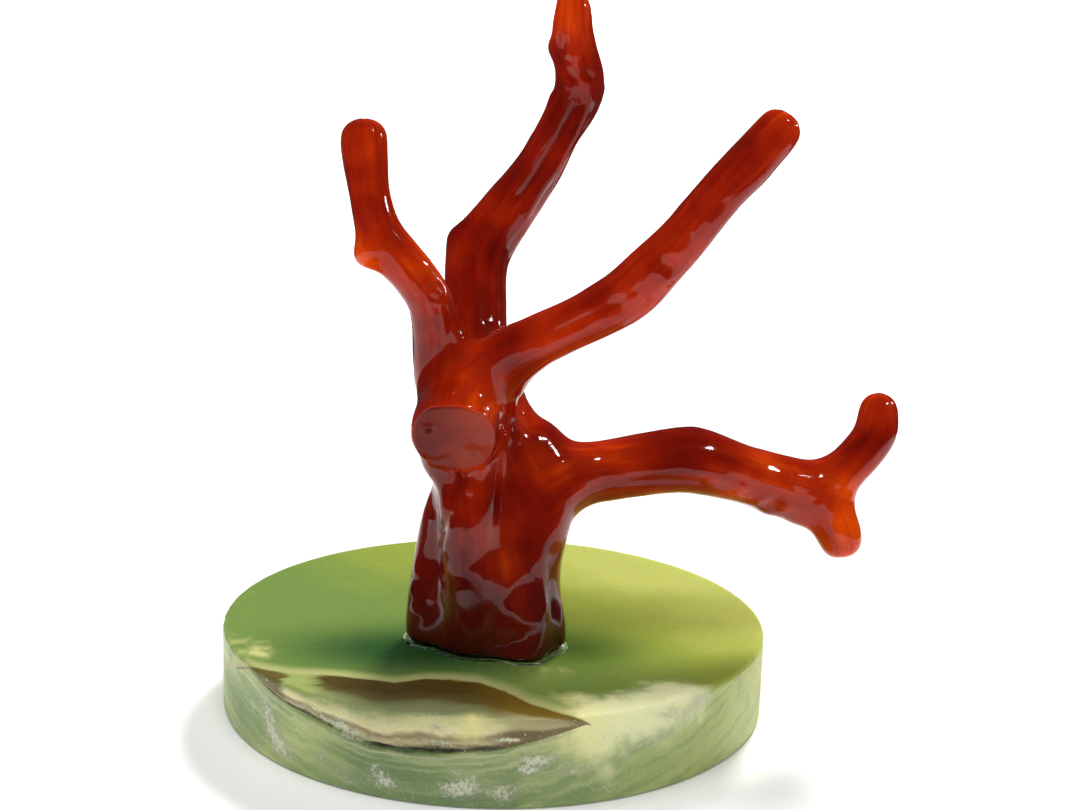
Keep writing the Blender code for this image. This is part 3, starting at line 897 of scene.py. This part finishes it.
def onyx_material():
    g = Graph("green_onyx")
    place = g.place()
    painted_light_and_tone, painted_trunk_shade, wall, wedge, cream_gap, under, chalk, cream = map(g.field, (
        "painted_light_and_tone", "painted_trunk_shade", "wall", "wedge", "cream_gap", "under", "chalk", "cream",
    ))
    split = g.node("SeparateXYZ", {0: place})
    x, z = split.outputs[0], split.outputs[2]

    # the green body, with soft clouds and drifting bands
    drift = g.noise(g.stretch(place, (0.6, 1, 1)), 0.045, 1.5, 0.5, 0.4)
    clouds = g.noise(place, 0.16, 1.5, 0.5)
    # the tone rises towards the back right: partly the stone's own colour, partly painted light
    # from behind
    tone = g.plus(painted_light_and_tone, g.times(g.minus(drift, 0.5), 0.5))
    tone = g.plus(tone, g.times(g.minus(clouds, 0.5), 0.2), clamp=True)
    body = g.ramp(tone, [
        (0.0, (0.19, 0.30, 0.07)), (0.3, (0.24, 0.34, 0.065)), (0.6, (0.34, 0.41, 0.06)),
        (1.0, (0.54, 0.58, 0.14)),
    ])
    # painted shade of the trunk on the stone, deepest on the left of the foot
    shade = g.mix(g.step(x, -1, 9), (0.012, 0.072, 0.018), (0.05, 0.105, 0.008))
    body = g.mix(g.times(painted_trunk_shade, 0.96), body, shade)

    # the wall is greyer, with thin pale layers that dip in a bowl under the cleft
    wobble = g.times(g.minus(g.noise(place, 0.35, 4, 0.6), 0.5), 2.4)
    layer = g.plus(under, wobble)
    layers = g.node("CombineXYZ", {0: layer, 1: g.times(x, 0.08), 2: 3.0}).outputs[0]
    layers = g.noise(layers, 0.8, 3, 0.55)
    wall_green = g.ramp(g.noise(place, 0.09, 3, 0.5), [
        (0.3, (0.26, 0.38, 0.14)), (0.55, (0.41, 0.53, 0.20)), (0.75, (0.62, 0.70, 0.27)),
    ])
    # it is darkest straight under the cleft
    middle = g.times(g.step(x, -24, -14), g.step(x, 14, 2))
    wall_green = g.mix(g.times(middle, 0.7), wall_green, (0.19, 0.30, 0.12))
    # paler and yellower towards the back right: partly the stone's own colour, partly painted
    # light from behind
    wall_green = g.mix(g.times(painted_light_and_tone, 0.85), wall_green, (0.70, 0.74, 0.19))
    pale = g.times(g.step(layers, 0.46, 0.68), g.step(x, 24, 4, 0.2, 0.45))
    wall_green = g.mix(pale, wall_green, (0.76, 0.80, 0.38))
    dark = g.times(g.step(layers, 0.5, 0.36), 0.3)
    wall_green = g.mix(dark, wall_green, (0.15, 0.24, 0.10))
    body = g.mix(wall, body, wall_green)

    # the wedge between the cream line and the cleft
    grit = g.minus(g.noise(place, 0.9, 5, 0.65), 0.5)
    smear = g.minus(g.noise(g.stretch(place, (0.35, 1, 1)), 0.5, 4, 0.6), 0.5)
    way = g.plus(wedge, g.times(smear, 0.22))
    vein = g.ramp(way, [
        (0.0, (0.20, 0.13, 0.03)), (0.05, (0.085, 0.058, 0.010)), (0.24, (0.080, 0.058, 0.012)),
        (0.36, (0.13, 0.11, 0.032)), (0.46, (0.24, 0.26, 0.11)), (0.6, (0.29, 0.33, 0.15)),
        (0.7, (0.64, 0.62, 0.32)), (0.79, (0.84, 0.78, 0.45)), (0.86, (0.34, 0.28, 0.13)),
        (0.92, (0.60, 0.53, 0.29)), (0.97, (0.10, 0.08, 0.04)), (1.0, (0.04, 0.035, 0.02)),
    ])
    ochre = g.times(g.step(x, -5, 3), g.step(way, 0.62, 0.44))
    vein = g.mix(g.times(ochre, 0.85), vein, (0.19, 0.12, 0.013))
    gap_x = g.plus(x, g.times(smear, 6))
    left_brown = g.times(g.step(gap_x, -26.5, -28.5), g.step(way, 1.0, 0.85))
    vein = g.mix(g.times(left_brown, 0.9), vein, (0.15, 0.115, 0.03))
    pale_gap = g.times(g.step(gap_x, -28.5, -26.8), g.step(gap_x, -21.8, -24.5))
    vein = g.mix(g.times(pale_gap, g.step(way, 0.75, 0.55)), vein, (0.33, 0.40, 0.13))
    tan = g.times(g.step(x, 0.5, 3.5), g.step(way, 0.42, 0.55))
    vein = g.mix(g.times(tan, 0.8), vein, (0.42, 0.36, 0.20))
    streak = g.times(g.step(x, -1, 3), g.step(way, 0.72, 0.84))
    streak = g.calc("MAXIMUM", streak, g.step(x, 9.0, 11.0))
    vein = g.mix(g.times(streak, 0.85), vein, (0.16, 0.10, 0.03))
    edge = g.plus(cream_gap, g.times(grit, 0.7))
    inside = g.plus(wedge, g.times(grit, 0.05))
    inside = g.times(g.step(edge, 0.1, 0.8), g.step(inside, 1.03, 0.99))
    inside = g.times(inside, g.times(g.step(x, 12.7, 12.1), g.step(x, -36.2, -34.8)))
    colour = g.mix(inside, body, vein)
    outer = g.times(edge, g.step(x, -12, 4, 1.0, 0.6))
    rim_line = g.times(g.step(outer, -2.6, -0.1), g.step(edge, 0.9, 0.2))
    rim_line = g.times(rim_line, g.times(g.step(x, 15.0, 10.0), g.step(x, -39, -36)))
    colour = g.mix(g.times(rim_line, 0.8), colour, (0.50, 0.50, 0.21))
    # pale lines that run under the cleft
    for depth_at, width, strength in ((0.75, 0.3, 0.65), (1.6, 0.22, 0.4), (2.5, 0.3, 0.3)):
        line = g.minus(g.plus(under, g.times(wobble, 0.3)), depth_at)
        line = g.calc("ABSOLUTE", line)
        shown = g.times(g.step(line, width, 0.0), g.times(wall, strength))
        colour = g.mix(shown, colour, (0.62, 0.60, 0.40))

    cloud = g.plus(g.times(cream, 1.3), g.minus(g.noise(place, 0.3, 4, 0.6), 0.72))
    bare = g.minus(1.0, g.times(inside, g.step(x, 1, 4, 0, 0.9)))
    colour = g.mix(g.times(g.step(cloud, 0.05, 0.75), bare), colour,
                   g.mix(g.step(x, 6, 18), (0.93, 0.86, 0.36), (0.93, 0.96, 0.55)))
    # chalky crumbs, small specks and the scratches that run down to the right
    crumbs = g.plus(g.times(chalk, 0.26), g.noise(place, 1.7, 8, 0.8, 0.3))
    crumbs = g.times(g.step(crumbs, 0.63, 0.78), g.step(chalk, 0.02, 0.2))
    crumbs = g.times(crumbs, g.step(g.noise(place, 4.5, 3, 0.6), 0.3, 0.5, 0.45, 1.0))
    specks = g.times(g.step(g.noise(place, 2.9, 2, 0.5), 0.66, 0.74), wall)
    slope = g.plus(x, g.times(z, 1.1))
    across = g.minus(z, g.times(x, 0.9))
    scratch = g.node("CombineXYZ", {0: g.times(slope, 2.2), 1: g.times(across, 0.22), 2: 7.0})
    scratch = g.noise(scratch.outputs[0], 0.9, 4, 0.6)
    scratch = g.times(g.step(scratch, 0.6, 0.72), g.step(g.noise(place, 0.14, 2, 0.5), 0.48, 0.6))
    scratch = g.times(scratch, g.times(wall, 0.65))
    white = g.calc("MAXIMUM", g.calc("MAXIMUM", crumbs, specks), scratch)
    film = g.times(g.step(chalk, 0.1, 1.0), g.noise(place, 0.7, 4, 0.6))
    colour = g.mix(g.times(film, 0.5), colour, (0.60, 0.64, 0.42))
    colour = g.mix(g.times(white, 0.95), colour, (0.86, 0.89, 0.68))

    rough = g.step(g.noise(place, 0.12, 2, 0.5), 0.3, 0.7, 0.24, 0.34)
    rough = g.plus(rough, g.times(wall, 0.14))
    rough = g.plus(rough, g.times(white, 0.3), clamp=True)
    height = g.plus(g.times(white, 0.8),
                    g.times(g.noise(place, 1.6, 4, 0.6), g.times(wall, 0.7)))
    normal = g.bump(height, 0.09)
    return g.finish({
        "Base Color": colour, "Roughness": rough, "IOR": 1.5, "Normal": normal,
        "Specular IOR Level": 0.38, "Subsurface Weight": 0.4,
        "Subsurface Radius": (0.8, 1.0, 0.35), "Subsurface Scale": 4 * MM,
    })


# The bead of glue round the foot

GLUE_STEPS = 180
# Across the bead: out from the foot's outline and up from the disc
GLUE_PROFILE = [
    (-0.6, 0.0), (-0.6, 0.16), (-0.2, 0.15), (0.0, 0.1), (0.2, 0.05), (0.4, 0.025), (0.65, 0.0),
]
GLUE_LIFT = 0.01


def make_glue(coral):
    """A thin meniscus of clear glue, from the disc's top up to the coral's foot."""
    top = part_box("onyx_base")[1].z / MM
    points = read_points(coral.data)
    foot = points[(points[:, 2] > top + 0.5) & (points[:, 2] < top + 1.6)]
    centre = foot[:, :2].mean(axis=0)
    angle = np.arctan2(foot[:, 1] - centre[1], foot[:, 0] - centre[0])
    reach = np.linalg.norm(foot[:, :2] - centre, axis=1)
    steps = full_turn(GLUE_STEPS)
    outline = []
    for step in steps:
        apart = np.abs((angle - step + math.pi) % (2 * math.pi) - math.pi)
        outline.append(np.percentile(reach[apart < 0.05], 85))
    outline = np.array(outline)
    for _ in range(3):
        outline = (np.roll(outline, 1) + 2 * outline + np.roll(outline, -1)) / 4
    vertices, faces = [], []
    rows = len(GLUE_PROFILE)
    for i, step in enumerate(steps):
        width = 1 + 0.45 * noise.noise(Vector((math.cos(step) * 2.2, math.sin(step) * 2.2, 4)))
        for out, up in GLUE_PROFILE:
            r = outline[i] + (out * width if out > 0 else out)
            vertices.append((centre[0] + r * math.cos(step), centre[1] + r * math.sin(step),
                             top + GLUE_LIFT + up))
    for i in range(GLUE_STEPS):
        faces += hoop(i * rows, (i + 1) % GLUE_STEPS * rows, rows)
    g = Graph("clear_glue")
    ripple = g.bump(g.noise(g.place(), 0.8, 2, 0.5), 0.06)
    piece = make_object("glue_bead", vertices, faces, g.finish({
        "Base Color": (1, 1, 1, 1), "Roughness": 0.06, "IOR": 1.36, "Transmission Weight": 1.0,
        "Normal": ripple,
    }))
    smooth = piece.modifiers.new("smooth", "SUBSURF")
    smooth.levels = smooth.render_levels = 1
    # a shadow ray can't bend through it, so the bead lets the light straight through to the stone
    piece.visible_shadow = False
    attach(piece, "root")
    return piece


# The table and the light

TABLE_NEAR = 215
TABLE_FAR = 9000
SHEET_RINGS = 12
SHEET_SIDES = 96
WALL_AWAY = 8000
WALL_FOOT = -10
WALL_HEIGHT = 2600
WALL_SIDES = 128
# The ceiling lamps: the way to each, its size in metres and its power
LAMPS = [((0.60, -0.24, 0.76), 0.10, 2.8), ((0.86, 0.32, 0.41), 0.085, 1.4)]
LAMPS_AWAY = 900
LAMPS_AIM = Vector((0, 0, 50))


def white_material(name, glow):
    g = Graph(name)
    paper = g.noise(g.place(), 0.02, 3, 0.5)
    colour = g.mix(paper, (0.92, 0.92, 0.92), (0.95, 0.95, 0.94))
    # rays find such large sheets anyway, and the lamps are then sampled more often
    g.material.cycles.emission_sampling = "NONE"
    return g.finish({
        "Base Color": colour, "Roughness": 0.8, "Specular IOR Level": 0.0,
        "Emission Color": (1, 1, 1, 1), "Emission Strength": glow,
    })


def disc(name, radius, level, material):
    """A flat round sheet for the table."""
    vertices, faces = [(0, 0, level)], fan(SHEET_SIDES)
    for i in range(SHEET_RINGS):
        if i:
            faces += band(len(vertices) - SHEET_SIDES, len(vertices), SHEET_SIDES)
        vertices += circle(radius * (i + 1) / SHEET_RINGS, level, full_turn(SHEET_SIDES))
    sheet = make_object(name, vertices, faces, material)
    return sheet


def make_stage():
    """A white table whose near part shows in the polish, with a dim room past its edge."""
    disc("table", TABLE_NEAR, -0.03, white_material("white_table", 0.12))
    far = disc("table_far", TABLE_FAR, -0.08, white_material("white_table_far", 0.6))
    far.visible_glossy = False
    angles = full_turn(WALL_SIDES)
    vertices = circle(WALL_AWAY, WALL_FOOT, angles) + circle(WALL_AWAY, WALL_HEIGHT, angles)
    wall = make_object("backdrop", vertices, hoop(0, WALL_SIDES, WALL_SIDES),
                       white_material("white_backdrop", 1.05))
    wall.visible_glossy = False
    wall.visible_diffuse = False
    wall.visible_shadow = False


def aimed(kind, name, place, target, seen=True, **settings):
    """A light that looks at a point. One that isn't seen lights the part but isn't mirrored."""
    data = bpy.data.lights.new(name, kind)
    give(data, settings)
    lamp = put(name, data)
    lamp.location = Vector(place) * MM
    lamp.rotation_euler = (Vector(target) - Vector(place)).to_track_quat("-Z", "Y").to_euler()
    lamp.visible_glossy = seen
    return lamp


def make_light():
    """The dim room, a soft high sun from behind, and a softer light overhead."""
    scene = bpy.context.scene
    scene.view_settings.view_transform = "Standard"
    scene.view_settings.look = "None"
    world = bpy.data.worlds.new("dim_room")
    scene.world = world
    world.use_nodes = True
    glow = world.node_tree.nodes["Background"]
    glow.inputs[0].default_value = (1, 0.98, 0.95, 1)
    glow.inputs[1].default_value = 0.05
    aimed("SUN", "key", (320, 900, 800), (0, 0, 0), seen=False, energy=3.5,
          angle=math.radians(14), color=(1.0, 0.985, 0.95))
    aimed("AREA", "overhead", (-150, -250, 1300), (0, 0, 30), seen=False, shape="DISK", size=1.1,
          energy=12.5)


def make_lamps(polished):
    """Two small ceiling lamps for the bright points on the polish, and on nothing duller."""
    lit = bpy.data.collections.new("lit_by_the_lamps")
    for piece in polished:
        lit.objects.link(piece)
    for i, (way, size, power) in enumerate(LAMPS):
        place = Vector(way).normalized() * LAMPS_AWAY + LAMPS_AIM
        lamp = aimed("AREA", f"lamp_{i}", place, LAMPS_AIM, shape="DISK", size=size, energy=power)
        lamp.visible_diffuse = False
        lamp.light_linking.receiver_collection = lit


make_camera()
make_stage()
make_light()
coral = make_coral()
make_onyx()
make_lamps((coral, make_glue(coral)))
